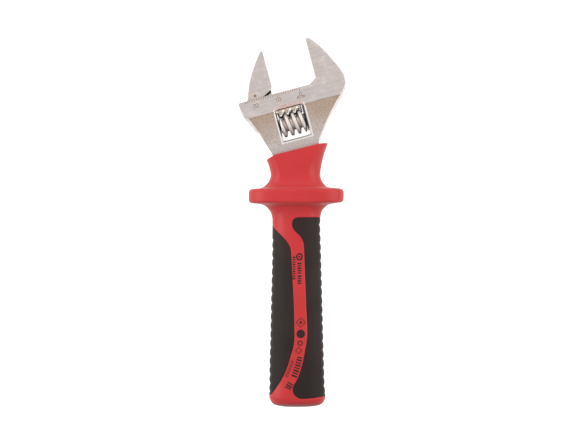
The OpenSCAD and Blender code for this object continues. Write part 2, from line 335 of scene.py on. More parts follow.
def ground_colour(s, brushed, cloud):
    """Brushed streaks with warm clouds and pale smudges."""
    colour = s.mix(s.between(brushed, 0.36, 0.64), GROUND_DULL, GROUND_BRIGHT)
    colour = s.mix(s.between(cloud, 0.45, 0.8, 0.0, 0.3), colour, WARM_CLOUD)
    smudge = s.noise(s.place(origin=(3.0, 0.0, 0.0)), 0.22, 3.0, 0.6)
    return s.mix(s.between(smudge, 0.5, 0.68, 0.0, 0.6), colour, PALE_SMUDGE)


def blasted_colour(s, v, cloud, grit):
    """Grey at the head's foot, tan and rusty towards the ground line, with dark pits all over."""
    colour = s.mix(s.between(v, BLASTED_FOOT, GROUND_LINE), BLASTED_LOW, BLASTED_HIGH)
    rusty = s.between(cloud, 0.42, 0.66, 0.0, 0.55)
    rusty = s.math("MULTIPLY", rusty, s.between(v, RUST_FROM, GROUND_LINE))
    colour = s.mix(rusty, colour, RUST)
    return s.mix(s.between(grit, 0.38, 0.58), s.mix(0.42, colour, PITS), colour)


def neck_shade(s, u, v, z):
    """Painted shade on the neck in the blade's undercut. It also runs up the middle of the blade's
    sides.
    """
    rise = s.math("MULTIPLY", s.math("SUBTRACT", u, UNDERCUT_U), UNDERCUT_SLOPE)
    below = s.math("SUBTRACT", s.math("ADD", rise, UNDERCUT_V), v)
    undercut_shade = s.math("MULTIPLY", s.between(below, 1.05, 0.85), s.between(v, *NECK_FROM))
    return s.math("MULTIPLY", undercut_shade, band(s, z, -NECK_HALF, NECK_HALF, 0.05))


def rack_edges(s, u, v, grit, colour):
    """Painted highlights along the rack's teeth, brown grease above them and painted black shade in the
    gaps below.
    """
    turn = s.math("MULTIPLY", s.math("SUBTRACT", u, THREAD_U), 2 * math.pi / PITCH)
    edge = s.math("ADD", s.math("MULTIPLY", s.math("COSINE", turn), TEETH_HALF), TEETH_V)
    inside = s.math("SUBTRACT", v, edge)
    low = s.between(v, *RACK_TOP)
    colour = s.mix(low, colour, s.mix(s.between(grit, 0.4, 0.6), GREASE_DARK, GREASE_PALE))
    # Painted highlight along the edges of the teeth
    painted_light = s.math("MULTIPLY", s.between(inside, 0.62, 0.42), low)
    colour = s.mix(painted_light, colour, TEETH_HIGHLIGHT)
    # Painted shade in the gaps below the teeth
    gap = s.math("MULTIPLY", s.between(inside, 0.08, -0.06), low)
    colour = s.mix(gap, colour, SHADE_BLACK)
    s.feed(s.surface.inputs["Metallic"], s.between(painted_light, 0.0, 1.0, 1.0, 0.15))
    # A darker line along the seam above the rack
    return s.mix(band(s, v, *RACK_SEAM, 0.06), colour, SEAM_DARK)


def window_rim(s, u, v, flat, colour):
    """A painted highlight round the window's mouth, and a pink-brown tarnish on its top chamfer."""
    outer = s.math("MULTIPLY", band(s, u, *RIM_OUTER_U), band(s, v, *RIM_OUTER_V))
    inner = s.math("MULTIPLY", band(s, u, *RIM_INNER_U, 0.1), s.between(v, *RIM_INNER_V))
    rim = s.math("MULTIPLY", outer, s.math("SUBTRACT", 1.0, inner))
    # Painted highlight round the window's mouth
    colour = s.mix(rim, colour, RIM_HIGHLIGHT)
    mouth = s.math("MULTIPLY", band(s, u, *MOUTH_U), band(s, v, *MOUTH_V))
    chamfer = s.math("MULTIPLY", s.math("SUBTRACT", 1.0, flat), mouth)
    dull = s.math("MULTIPLY", chamfer, 0.75)
    s.feed(s.surface.inputs["Metallic"], s.math("SUBTRACT", 1.0, dull))
    patch = s.between(s.noise(s.place(), 1.1, 2.0), 0.4, 0.6)
    top = s.math("MULTIPLY", s.between(v, *TOP_CHAMFER), chamfer)
    return s.mix(top, colour, s.mix(patch, TARNISH_DARK, TARNISH_PALE))


def window_shade(s, u, v, flat):
    """Painted shade on the window's walls, inside its rim."""
    sides = s.math("MAXIMUM", band(s, u, *LEFT_WALL_U, 0.18), band(s, u, *RIGHT_WALL_U, 0.25))
    sides = s.math("MULTIPLY", sides, band(s, v, *SIDE_WALLS_V, 0.7))
    foot = s.math("MULTIPLY", band(s, v, *FOOT_WALL_V, 0.05), band(s, u, *FOOT_WALL_U, 0.3))
    walls = s.math("MAXIMUM", sides, foot)
    return s.math("MULTIPLY", walls, s.math("SUBTRACT", 1.0, flat))


def bright_steel(name, colour, stretch, painted_shade_ends=False):
    """Turned steel with machining lines and oily spots, and painted black shade past the thread's ends
    if asked.
    """
    s = Shader(name, Metallic=0.85)
    lines = s.noise(s.place(HEAD_ANGLE, stretch, HEAD_AT), 1.0, 3.0, 0.6)
    spots = s.noise(s.place(), 0.5, 3.0)
    dark = [c * 0.72 for c in colour]
    oily = [c * share for c, share in zip(colour, (0.8, 0.66, 0.58))]
    tone = s.mix(s.between(lines, 0.3, 0.7), (*dark, 1), (*colour, 1))
    tone = s.mix(s.between(spots, 0.45, 0.7, 0, 0.5), tone, (*oily, 1))
    if painted_shade_ends:
        # Painted shade: the hubs past the thread's ends go black for the dark gaps beside the worm
        u = s.parts(s.place(HEAD_ANGLE, origin=HEAD_AT))[0]
        thread = band(s, u, WORM_FROM, WORM_FROM + WORM_LENGTH, 0.02)
        tone = s.mix(thread, SHADE_BLACK, tone)
    s.feed(s.surface.inputs["Base Color"], tone)
    s.feed(s.surface.inputs["Roughness"], s.between(lines, 0.2, 0.8, 0.48, 0.62))
    s.feed(s.surface.inputs["Normal"], s.bump(lines, 0.008, 0.7, s.round_edges(0.1)))
    return s.material


RED_DARK = (0.345, 0.0185, 0.0205, 1)
RED_LIGHT = (0.375, 0.0215, 0.0235, 1)
# Painted shade at the butt's end: its colour and the span of y it fades over
RED_SHADED = (0.15, 0.010, 0.012, 1)
BUTT_SHADE_SPAN = (-79.3, -77.6)
BLACK_DARK = (0.0148, 0.0092, 0.0076, 1)
BLACK_LIGHT = (0.019, 0.0122, 0.0101, 1)
# Painted shade on the grips towards the butt: its colour and the span of y it fades over
BLACK_SHADED = (0.008, 0.005, 0.0045, 1)
GRIP_SHADE_SPAN = (-76.0, -45.0)


def red_plastic():
    """Moulded insulation with a faint satin grain, and painted shade at the butt's end."""
    s = Shader("red_plastic", Specular_IOR_Level=0.2, Sheen_Weight=0.08, Sheen_Roughness=0.45)
    cloud = s.noise(s.place(), 0.12, 3.0)
    grain = s.noise(s.place(), 3.0, 2.0, 0.6)
    tone = s.mix(s.between(cloud, 0.3, 0.7), RED_DARK, RED_LIGHT)
    # Painted shade, darker at the butt's end
    butt_shade = s.between(s.parts(s.place())[1], *BUTT_SHADE_SPAN, 1.0, 0.0)
    s.feed(s.surface.inputs["Base Color"], s.mix(butt_shade, tone, RED_SHADED))
    s.feed(s.surface.inputs["Roughness"], s.between(grain, 0.25, 0.75, 0.36, 0.5))
    s.feed(s.surface.inputs["Normal"], s.bump(grain, 0.02, 0.5))
    return s.material


def black_grip():
    """Soft grip with a fine leather-like grain, and painted shade towards the butt."""
    s = Shader("black_grip", Specular_IOR_Level=0.11, Sheen_Weight=0.06, Sheen_Roughness=0.5)
    grain = s.noise(s.place(), 2.6, 3.0, 0.65)
    cloud = s.noise(s.place(), 0.1, 2.0)
    tone = s.mix(s.between(cloud, 0.3, 0.7), BLACK_DARK, BLACK_LIGHT)
    # Painted shade, darker towards the butt
    painted_light = s.between(s.parts(s.place())[1], *GRIP_SHADE_SPAN, 0.5, 0.0)
    s.feed(s.surface.inputs["Base Color"], s.mix(painted_light, tone, BLACK_SHADED))
    s.feed(s.surface.inputs["Roughness"], s.between(grain, 0.3, 0.7, 0.5, 0.7))
    s.feed(s.surface.inputs["Normal"], s.bump(grain, 0.05, 0.6))
    return s.material


def ink(name, colour):
    """Printed or etched marks, a little uneven."""
    s = Shader(name, Specular_IOR_Level=0.2)
    speck = s.noise(s.place(), 6.0, 2.0)
    lighter = [c * 1.35 for c in colour]
    s.feed(s.surface.inputs["Base Color"], s.mix(speck, (*colour, 1), (*lighter, 1)))
    s.feed(s.surface.inputs["Roughness"], s.between(speck, 0.3, 0.7, 0.5, 0.7))
    return s.material


STEEL = head_steel("ground_steel")
JAW_STEEL = head_steel("ground_steel_jaw", sliding=True)
WORM_STEEL = bright_steel("worm_steel", (0.68, 0.63, 0.60), (9.0, 0.4, 0.4), painted_shade_ends=True)
PIN_STEEL = bright_steel("pin_steel", (0.62, 0.59, 0.57), (0.5, 5.0, 5.0))
RED = red_plastic()
BLACK = black_grip()
PRINT = ink("black_print", (0.012, 0.006, 0.006))
ETCH = ink("etched_mark", (0.15, 0.09, 0.05))


def dress(node, material):
    """Gives a CAD piece its material."""
    materials = nodes[node].data.materials
    materials.clear()
    materials.append(material)


# ---- Handle ----

# Rings of the handle: y, left half width, right half width, half depth, squareness
RINGS = np.array([
    [-79.8, 6.6, 7.9, 4.4, 2.4], [-79.2, 9.3, 10.3, 6, 2.4], [-77.9, 10.8, 11.9, 7.6, 2.4],
    [-75.5, 11.7, 12.7, 8.4, 2.4], [-71.5, 11.65, 12.4, 8.6, 2.4], [-62, 11.6, 12.1, 8.55, 2.4],
    [-52, 11.3, 11.8, 8.5, 2.4], [-34, 10.9, 11.35, 8.4, 2.4], [-12, 10.4, 10.75, 8.3, 2.4],
    [0.8, 10.3, 10.4, 8.2, 2.4], [3.4, 10.7, 10.7, 8.3, 2.4], [5.2, 11.7, 11.4, 8.5, 2.5],
    [6.6, 13.0, 12.7, 8.9, 2.6], [7.35, 14.2, 13.7, 9.5, 2.7], [7.75, 15.6, 14.7, 10.4, 2.8],
    [8.1, 19.3, 16.8, 11.7, 2.9], [8.55, 20.2, 19.6, 12.3, 3], [9.4, 20.6, 20.45, 12.5, 3],
    [12.7, 20.6, 20.65, 12.5, 3], [13.8, 20.15, 20.3, 12.4, 3], [14.25, 19.3, 19.8, 12.0, 2.9],
    [14.6, 15.8, 18.7, 11.3, 2.8], [15.1, 14.4, 13.7, 9.7, 2.6], [15.7, 13.6, 12.8, 8.9, 2.6],
    [16.4, 12.85, 12.15, 8.2, 2.6],
    [18, 11.6, 11, 7.5, 3], [20.5, 11.0, 10.4, 7, 3.4], [24, 11.75, 10.8, 6.9, 3.4],
    [28, 13.2, 11.7, 7, 3.4], [36, 15.2, 14.4, 7.1, 3.4],
])
# Borders of the black grips and, above them, creases beside the collar's flat face: x, y
LEFT_LINE = np.array([
    [-11.4, -75], [-8.7, -71.5], [-5.1, -65.4], [-2.8, -59.2], [-0.8, -50], [-1, -38],
    [-1.8, -22.3], [-2.4, -11.9], [-4, -8.6], [-6.4, -5.9], [-10.2, -1.2], [-10.2, 2], [-8.6, 9],
    [-7.0, 15], [-6.6, 18.5], [-7.2, 21], [-9.6, 27.6], [-11.2, 31.5],
])
TOP_ARC = [(0.6 - 2.4 * math.cos(a), -1.1 + 3.05 * math.sin(a)) for a in (0, 0.5, 1, 1.35, 1.571)]
BOTTOM_ARC = [(2.7 - 4.2 * math.cos(a), -72.2 - 4.1 * math.sin(a)) for a in (1.571, 1.3, 1, 0.5, 0)]
RIGHT_LINE = np.array([
    *BOTTOM_ARC, (0.85, -67.1), (3.2, -59), (4.9, -47), (4.5, -38), (3.7, -17.8), (3.3, -9.3),
    (1.9, -6.3), (-1, -3.2), *TOP_ARC, (2.4, 6), (4.0, 12), (4.6, 18), (5.2, 22), (9.4, 31.2),
    (10.6, 35),
])
GRIP_TOP = 1.95
GRIP_FOOT = -76.3
LEFT_ENDS = (-75.0, -1.2)
SEAM = 0.2
SEAM_DEPTH = 0.22
GRIP_DEPTH = 1.6
COLLAR_FROM = 16.2
FACETED = (17.0, 22.5)
OUTLINE_STEPS = 361
# The collar's sides: the slope they start from at a crease, and each one's share of the columns
SIDE_START = math.radians(33)
SIDE_SHARE = 0.34
# The collar's rim: x, y
RIM = np.array([[-12.7, 26.88], [-9.3, 28.85], [10.0, 33.72], [13.4, 34.05]])


def rim_y(x):
    """Height of the collar's rim at x."""
    return np.interp(x, RIM[:, 0], RIM[:, 1])


def line_x(line, y):
    """Where a border or crease runs at y."""
    order = np.argsort(line[:, 1])
    return through(line[order, 1], line[order, 0], y)


def section(y):
    """The front half of the handle's outline at y, from its right side to its left: x, z rows."""
    left, right, depth, square = (through(RINGS[:, 0], RINGS[:, k], y) for k in (1, 2, 3, 4))
    a = np.linspace(0, math.pi, OUTLINE_STEPS)
    c, s = np.cos(a), np.sin(a)
    x = np.sign(c) * np.abs(c) ** (2 / square) * np.where(c < 0, left, right)
    z = np.abs(s) ** (2 / square) * depth
    faceted = smoothstep(y, *FACETED)
    if faceted > 0:
        creases = line_x(LEFT_LINE, y), line_x(RIGHT_LINE, y)
        flat_x, flat_z = collar_section(a / math.pi, left, right, depth, *creases)
        x = x * (1 - faceted) + flat_x * faceted
        z = z * (1 - faceted) + flat_z * faceted
    return np.stack([x, z], 1)


def collar_section(t, left, right, depth, left_crease, right_crease):
    """A flat front between two creases, with sides that curve away from them, at t from 0 to 1."""

    def side(along, crease, width):
        turn = math.pi / 2 - (math.pi / 2 - SIDE_START) * np.clip(along / SIDE_SHARE, 0, 1)
        out = (np.sin(turn) - math.sin(SIDE_START)) / (1 - math.sin(SIDE_START))
        return crease + (width - crease) * out, depth * np.cos(turn) / math.cos(SIDE_START)

    x_right, z_right = side(t, right_crease, right)
    x_left, z_left = side(1 - t, -left_crease, left)
    middle = np.clip((t - SIDE_SHARE) / (1 - 2 * SIDE_SHARE), 0, 1)
    front = right_crease + (left_crease - right_crease) * middle
    on_right, on_left = t < SIDE_SHARE, t > 1 - SIDE_SHARE
    x = np.where(on_right, x_right, np.where(on_left, -x_left, front))
    z = np.where(on_right, z_right, np.where(on_left, z_left, depth))
    return x, z


COLUMNS = 13
LEAST_SEGMENT = 0.7


def column_places(length, right, left):
    """How far round the front half each column stands, with one on each border."""
    left = min(left, length - LEAST_SEGMENT)
    right = max(min(right, left - LEAST_SEGMENT), LEAST_SEGMENT)
    return np.concatenate([
        np.linspace(0, right - SEAM, COLUMNS), [right],
        np.linspace(right + SEAM, left - SEAM, COLUMNS), [left],
        np.linspace(left + SEAM, length, COLUMNS),
    ])


RIGHT_BORDER = COLUMNS
LEFT_BORDER = 2 * COLUMNS + 1
FRONT_COLUMNS = 3 * COLUMNS + 2


def front_points(y):
    """The front half's columns at one y."""
    outline = section(y)
    step = np.hypot(*np.diff(outline, axis=0).T)
    run = np.concatenate([[0], np.cumsum(step)])
    crossing = [np.interp(-line_x(line, y), -outline[:, 0], run) for line in (RIGHT_LINE, LEFT_LINE)]
    places = column_places(run[-1], *crossing)
    return np.stack([np.interp(places, run, outline[:, k]) for k in (0, 1)], 1)


# The right grip's foot: where its rise starts, over what width and how far, and the rows it takes along
RISE_FROM, RISE_WIDTH, RISE = 2.7, 9.7, 1.05
ROWS_BELOW, ROWS_ABOVE = 3.4, 8.0
SETTLING_ROUNDS = 6


def grip_foot_rise(x, y):
    """The foot of the right grip rises towards its side, and the rows near it go along."""
    rise = RISE * np.clip((x - RISE_FROM) / RISE_WIDTH, 0, 1) ** 1.6
    away = y - GRIP_FOOT
    fade = np.clip(1 - np.where(away < 0, -away / ROWS_BELOW, away / ROWS_ABOVE), 0, 1) ** 2
    return rise * fade


def row(level):
    """One full ring of points. From COLLAR_FROM up, a level counts 1 more at the rim itself."""
    y = np.full(FRONT_COLUMNS, min(level, COLLAR_FROM), float)
    over = max(0.0, level - COLLAR_FROM)
    bent = over > 0 or level < GRIP_FOOT + ROWS_ABOVE
    for _ in range(SETTLING_ROUNDS if bent else 1):
        front = np.array([front_points(v)[i] for i, v in enumerate(y)]) if bent else front_points(y[0])
        if over > 0:
            y = COLLAR_FROM + over * (rim_y(front[:, 0]) - COLLAR_FROM)
        elif bent:
            y = level + grip_foot_rise(front[:, 0], level)
    front = np.stack([front[:, 0], y, front[:, 1]], 1)
    back = front[-2:0:-1] * [1, 1, -1]
    return np.concatenate([front, back])


ROW_STEP = 0.45
RIM_ROWS = 34


def levels():
    """Rows from the butt up to the rim, close together where the outline turns."""
    keys = [RINGS[0, 0]]
    for border in (GRIP_FOOT, *LEFT_ENDS, GRIP_TOP):
        keys.extend([border - SEAM, border, border + SEAM])
    keys.append(COLLAR_FROM)
    made = []
    for low, high in zip(keys[:-1], keys[1:]):
        y = np.linspace(low, high, 400)
        shape = [through(RINGS[:, 0], RINGS[:, k], y) for k in (1, 3)]
        run = np.concatenate([[0], np.cumsum(np.sqrt(sum(np.diff(q) ** 2 for q in (y, *shape))))])
        count = max(1, math.ceil(run[-1] / ROW_STEP))
        made.extend(np.interp(np.linspace(0, run[-1], count + 1)[:-1], run, y))
    made.extend(COLLAR_FROM + np.linspace(0, 1, RIM_ROWS))
    return made


LEVELS = levels()
RING = 2 * FRONT_COLUMNS - 2


def owner(level, column):
    """Which piece the cell above a row and after a column belongs to."""
    front = column if column < FRONT_COLUMNS - 1 else RING - 1 - column
    if front < RIGHT_BORDER and GRIP_FOOT - 1e-6 <= level < GRIP_TOP - 1e-6:
        return "grip_right"
    if front >= LEFT_BORDER and LEFT_ENDS[0] - 1e-6 <= level < LEFT_ENDS[1] - 1e-6:
        return "grip_left"
    return "sleeve"


def grid_normals(grid):
    """Outward normals of the handle's grid."""
    along = np.gradient(grid, axis=0)
    around = (np.roll(grid, -1, 1) - np.roll(grid, 1, 1)) / 2
    normal = np.cross(around, along)
    length = np.linalg.norm(normal, axis=2, keepdims=True)
    return -normal / np.maximum(length, 1e-9)


SCALLOP_PITCH = 3.87
SCALLOP_DEPTH = 0.42
SCALLOP_STRIP = (3.0, 4.4)
SCALLOPS_FROM = {"grip_right": -1.2, "grip_left": -11.8}
SCALLOPS_TO = {"grip_right": (-74.5, 0.0), "grip_left": (-73.5, -7.5)}


def scallops(grid, normal, owners):
    """A row of hollows along the outer side of each grip."""
    y, z = grid[..., 1], grid[..., 2]
    depth = np.zeros_like(y)
    for name, start in SCALLOPS_FROM.items():
        low, high = SCALLOPS_TO[name]
        mine = (owners == name) & (y > low) & (y < high)
        wave = 1 - np.abs(np.sin(math.pi * (y - start) / SCALLOP_PITCH))
        strip = 1 - smoothstep(np.abs(z), *SCALLOP_STRIP)
        depth += mine * wave ** 1.3 * strip * SCALLOP_DEPTH
    return grid - normal * depth[..., None]


def cell_corners(i, j):
    """Numbers of the four grid points round a cell."""
    k = (j + 1) % RING
    return [i * RING + j, i * RING + k, (i + 1) * RING + k, (i + 1) * RING + j]


def only_used(points, faces):
    """The points that some face stands on, and the faces with their new numbers."""
    used = sorted({q for f in faces for q in f})
    number = {q: n for n, q in enumerate(used)}
    return np.asarray(points)[used], [[number[q] for q in f] for f in faces]


def wall_solid(name, outer, inner, cells):
    """A closed grip panel between an outer and an inner grid, over some of their cells."""
    count = outer.shape[0] * RING
    faces = []
    edges = set()
    for i, j in cells:
        quad = cell_corners(i, j)
        faces.append(quad)
        faces.append([q + count for q in reversed(quad)])
        edges.update(zip(quad, quad[1:] + quad[:1]))
    for a, b in sorted(edges):
        if (b, a) not in edges:
            faces.append([b, a, a + count, b + count])
    points, faces = only_used(np.concatenate([outer.reshape(-1, 3), inner.reshape(-1, 3)]), faces)
    return new_mesh(name, on_handle(points), faces, "handle", BLACK)


def handle():
    """The two grips with their scalloped sides, and the sleeve that they are let into."""
    grid = np.array([row(v) for v in LEVELS])
    rows = len(LEVELS)
    owners = np.array([[owner(level, j) for j in range(RING)] for level in LEVELS[:-1]])
    normal = grid_normals(grid)
    # The pieces that own the four cells round each point, and the points where they differ
    touching = np.full((rows, RING, 4), "sleeve", dtype=object)
    for k, cells in enumerate((owners, np.roll(owners, 1, 1))):
        touching[:-1, :, k] = cells
        touching[1:, :, 2 + k] = cells
    seam = (touching != touching[..., :1]).any(axis=2)
    grid = scallops(grid, normal, np.where(seam, "sleeve", touching[..., 0]))
    grid = grid - normal * (seam[..., None] * SEAM_DEPTH)
    floor = grid - normal * GRIP_DEPTH
    for name in ("grip_right", "grip_left"):
        piece = wall_solid(name + "_moulding", grid, floor, np.argwhere(owners == name).tolist())
        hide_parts(name)
        sharpen(piece, 50)
    sleeve(grid, floor, owners)


# The head's foot in the collar's socket, and the socket's depth and half widths
HEAD_FOOT_T = 8.32
SOCKET_DEPTH = 3.0
SOCKET_LEFT, SOCKET_RIGHT = 9.75, 9.45


def sleeve(grid, floor, owners):
    """The red insulation: the outer form, sunk under the grips, with a closed butt and a socket."""
    rows = grid.shape[0]
    points = list(grid.reshape(-1, 3))
    floor_points = floor.reshape(-1, 3)
    faces = []
    sunk = {}

    def below(q):
        if q not in sunk:
            sunk[q] = len(points)
            points.append(floor_points[q])
        return sunk[q]

    edges = set()
    for i in range(rows - 1):
        for j in range(RING):
            quad = cell_corners(i, j)
            if owners[i, j] == "sleeve":
                faces.append(quad)
            else:
                faces.append([below(q) for q in quad])
                edges.update(zip(quad, quad[1:] + quad[:1]))
    for a, b in sorted(edges):
        if (b, a) not in edges:
            faces.append([a, b, below(b), below(a)])
    close_butt(points, faces, grid[0])
    open_socket(points, faces, (rows - 1) * RING, grid[-1])
    points, faces = only_used(points, faces)
    piece = new_mesh("sleeve_moulding", on_handle(points), faces, "handle", RED)
    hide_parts("insulating_sleeve")
    sharpen(piece, 50)


def add_ring(points, faces, ring, below):
    """Joins a new ring of points to the one whose first point has the number below."""
    first = len(points)
    points.extend(ring)
    for j in range(RING):
        k = (j + 1) % RING
        faces.append([below + j, below + k, first + k, first + j])
    return first


def close_butt(points, faces, last):
    """Rings that close the butt with a slight crown."""
    centre = last.mean(axis=0)
    first = 0
    for share, drop in ((0.82, 0.16), (0.55, 0.24), (0.25, 0.27)):
        ring = centre + (last - centre) * share
        ring[:, 1] = last[:, 1] - drop
        start = len(points)
        points.extend(ring)
        for j in range(RING):
            k = (j + 1) % RING
            faces.append([first + k, first + j, start + j, start + k])
        first = start
    tip = len(points)
    points.append(np.array([centre[0], last[:, 1].min() - 0.28, 0]))
    faces.extend([first + (j + 1) % RING, first + j, tip] for j in range(RING))


def open_socket(points, faces, below, rim):
    """A rounded lip, then the socket's wall round the steel, with a floor under its foot."""
    clearance = 0.06
    x, z = rim[:, 0], rim[:, 2]
    size = np.hypot(x, z)
    half_w = np.where(x < 0, SOCKET_LEFT, SOCKET_RIGHT)
    half_t = HEAD_FOOT_T / 2 + clearance
    wall = 1 / np.maximum(np.abs(x) / half_w, np.abs(z) / half_t)
    steps = ((1 - 0.18 / size, 0.14), (1 - 0.5 / size, 0.2), (wall, 0.2), (wall, -SOCKET_DEPTH))
    first = below
    for share, rise in steps:
        ring = np.stack([x * share, rim_y(x * share) + rise, z * share], 1)
        first = add_ring(points, faces, ring, first)
    middle = len(points)
    points.append(ring.mean(axis=0))
    faces.extend([first + j, first + (j + 1) % RING, middle] for j in range(RING))


# ---- Worm ----

# The knurls reach this far from a crest's middle
CREST_HALF = 0.5
# One side of the thread from the crest's middle to the root's middle: along, share of its height
THREAD_SIDE = [(0.0, 1.0), (0.3, 1.0), (0.47, 0.99), (0.54, 0.95), (0.6, 0.86), (0.76, 0.56),
               (0.94, 0.24), (1.05, 0.1), (1.2, 0.02), (PITCH / 2, 0.0)]


def thread_profile():
    """One pitch of the thread, from root to root: along, radius, share of a crest."""
    height = WORM_R - WORM_ROOT
    half = [(u, WORM_ROOT + h * height, float(u < CREST_HALF)) for u, h in THREAD_SIDE]
    return [(-u, r, c) for u, r, c in reversed(half)] + half[1:-1]


def thread_loop(profile, a):
    """The worm's outline along u at one turn of its thread: along, radius rows."""
    shift = THREAD_U + PITCH * a / (2 * math.pi)
    notch = KNURL_DEPTH * (0.5 - 0.5 * math.cos(KNURLS * a))
    path = np.array([
        (u + shift + k * PITCH, r - crest * notch) for k in range(-3, 5) for u, r, crest in profile
    ])
    along = np.clip(path[:, 0], WORM_FROM, WORM_FROM + WORM_LENGTH)
    radius = np.interp(along, path[:, 0], path[:, 1])
    end = np.minimum(along - WORM_FROM, WORM_FROM + WORM_LENGTH - along)
    return np.stack([along, np.minimum(radius, WORM_R - END_BEVEL + end)], 1)


def worm():
    """A worm with a right-hand thread, knurled on its crests, and hubs, a bore and a pocket."""
    profile = thread_profile()
    period = len(profile)
    worm_to = WORM_FROM + WORM_LENGTH
    pocket_floor = WORM_FROM + POCKET_DEPTH
    left_end = [(pocket_floor, BORE_R), (pocket_floor, POCKET_R), (HUB_ENDS[0], POCKET_R),
                (HUB_ENDS[0], HUB_R), (WORM_FROM, HUB_R)]
    right_end = [(worm_to, HUB_R), (HUB_ENDS[1], HUB_R), (HUB_ENDS[1], BORE_R)]
    points = []
    for step in range(TURN_STEPS):
        a = 2 * math.pi * step / TURN_STEPS
        c, s = math.cos(a), math.sin(a)
        outline = [*left_end, *thread_loop(profile, a), *right_end]
        points.extend([u, WORM_V + r * c, r * s] for u, r in outline)
    size = len(outline)
    before, after = len(left_end), len(right_end)

    def at(step, k):
        """The number of a point, where the thread runs on by one pitch after each turn."""
        if step < TURN_STEPS:
            return step * size + k
        if k < before or k >= size - after:
            return k
        return min(k + period, size - after - 1)

    faces = []
    for step in range(TURN_STEPS):
        for k in range(size):
            n = (k + 1) % size
            faces.append([at(step, k), at(step + 1, k), at(step + 1, n), at(step, n)])
    piece = new_mesh("worm_thread", on_head(points), faces, "worm", WORM_STEEL)
    tidy_mesh(piece)
    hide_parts("adjusting_worm")
    sharpen(piece, 40)


def tidy_mesh(piece, smooth=True):
    """Joins points that lie together and points every face outwards."""
    mesh = bmesh.new()
    mesh.from_mesh(piece.data)
    bmesh.ops.remove_doubles(mesh, verts=mesh.verts, dist=2e-6)
    bmesh.ops.dissolve_degenerate(mesh, edges=mesh.edges, dist=1e-6)
    bmesh.ops.recalc_face_normals(mesh, faces=mesh.faces)
    mesh.to_mesh(piece.data)
    mesh.free()
    for face in piece.data.polygons:
        face.use_smooth = smooth


# ---- Marks ----

# How far each mark reaches into its surface
MARK_SUNK = 0.1
DISC_STEPS = 24


def ribbon(path, width, closed=False):
    """The left and right sides of a stroke along a path of x, y points."""
    path = np.asarray(path, float)
    ahead = np.roll(path, -1, 0) - path
    behind = path - np.roll(path, 1, 0)
    if not closed:
        ahead[-1] = behind[-1]
        behind[0] = ahead[0]
    ahead /= np.linalg.norm(ahead, axis=1)[:, None]
    behind /= np.linalg.norm(behind, axis=1)[:, None]
    mean = ahead + behind
    mean /= np.linalg.norm(mean, axis=1)[:, None]
    stretch = 1 / np.maximum((mean * ahead).sum(axis=1), 0.6)
    aside = np.stack([-mean[:, 1], mean[:, 0]], 1) * (stretch * width / 2)[:, None]
    return path + aside, path - aside


def arc(centre, radii, start, end, steps=10):
    """Points on an oval's arc, in degrees."""
    a = np.radians(np.linspace(start, end, steps + 1))
    return [(centre[0] + radii[0] * math.cos(t), centre[1] + radii[1] * math.sin(t)) for t in a]


def bar(start, end, steps=1):
    """A straight stroke's path."""
    t = np.linspace(0, 1, steps + 1)[:, None]
    return np.array(start) * (1 - t) + np.array(end) * t


class Marks:
    """Thin raised strokes on a surface, gathered into one piece."""

    def __init__(self, height, lift):
        self.height = height
        self.lift = lift
        self.points = []
        self.faces = []

    def stroke(self, path, width, closed=False):
        """A bar of one width along a path."""
        left, right = ribbon(path, width, closed)
        first = len(self.points)
        for a, b in zip(left, right):
            for (x, y), lift in ((a, self.lift), (b, self.lift), (b, -MARK_SUNK), (a, -MARK_SUNK)):
                self.points.append((x, y, self.height(x, y) + lift))
        count = len(left)
        for i in range(count if closed else count - 1):
            k = (i + 1) % count
            for c in range(4):
                d = (c + 1) % 4
                self.faces.append([first + 4 * i + d, first + 4 * i + c,
                                   first + 4 * k + c, first + 4 * k + d])
        if not closed:
            last = first + 4 * (count - 1)
            self.faces.append([first + c for c in (0, 1, 2, 3)])
            self.faces.append([last + c for c in (3, 2, 1, 0)])

    def disc(self, centre, radius):
        """A filled round dot which follows the surface."""
        steps = DISC_STEPS
        first = len(self.points)
        for lift in (self.lift, -MARK_SUNK):
            for size in (radius, radius / 2):
                ring = arc(centre, (size, size), 0, 360 - 360 / steps, steps - 1)
                self.points.extend((x, y, self.height(x, y) + lift) for x, y in ring)
            self.points.append((*centre, self.height(*centre) + lift))
        below = 2 * steps + 1
        for i in range(steps):
            k = (i + 1) % steps
            for start, flip in ((first, False), (first + below, True)):
                outer = [start + i, start + k, start + steps + k, start + steps + i]
                inner = [start + steps + i, start + steps + k, start + 2 * steps]
                self.faces.extend([outer[::-1], inner[::-1]] if flip else [outer, inner])
            self.faces.append([first + i, first + below + i, first + below + k, first + k])

    def piece(self, name, on, body, slot, material):
        """The marks so far as one mesh, carried from their frame by on()."""
        made = new_mesh(name, on(self.points), self.faces, body, material)
        tidy_mesh(made, smooth=False)


def numeral(marks, digit, at, height, width):
    """A plain 0, 1 or 2."""
    x, y = at
    r = 0.3 * height
    foot, top = y - height / 2, y + height / 2
    if digit == 0:
        marks.stroke(arc(at, (r, height / 2), 0, 342, 19), width, closed=True)
    elif digit == 1:
        stem = x + 0.1 * r
        marks.stroke([(x - 0.5 * r, y + 0.3 * height), (stem, top), (stem, foot)], width)
    else:
        bow = arc((x, top - r), (r, r), 160, -35, 8)
        marks.stroke([*bow, (x - r, foot), (x + r, foot)], width)


def letter_m(marks, at, height, width):
    """A plain lower-case m: a stem with two arches."""
    x, y = at
    step = 0.5 * height
    foot, top = y - height / 2, y + height / 2
    marks.stroke(bar((x, foot), (x, top)), width)
    for k in (0, 1):
        low = x + width / 2 + k * step
        middle = (low + step / 2 - width / 4, top - 0.3 * height)
        arch = arc(middle, (step / 2 - width / 4, 0.25 * height), 180, 0, 6)
        marks.stroke([*arch, (arch[-1][0], foot)], width)


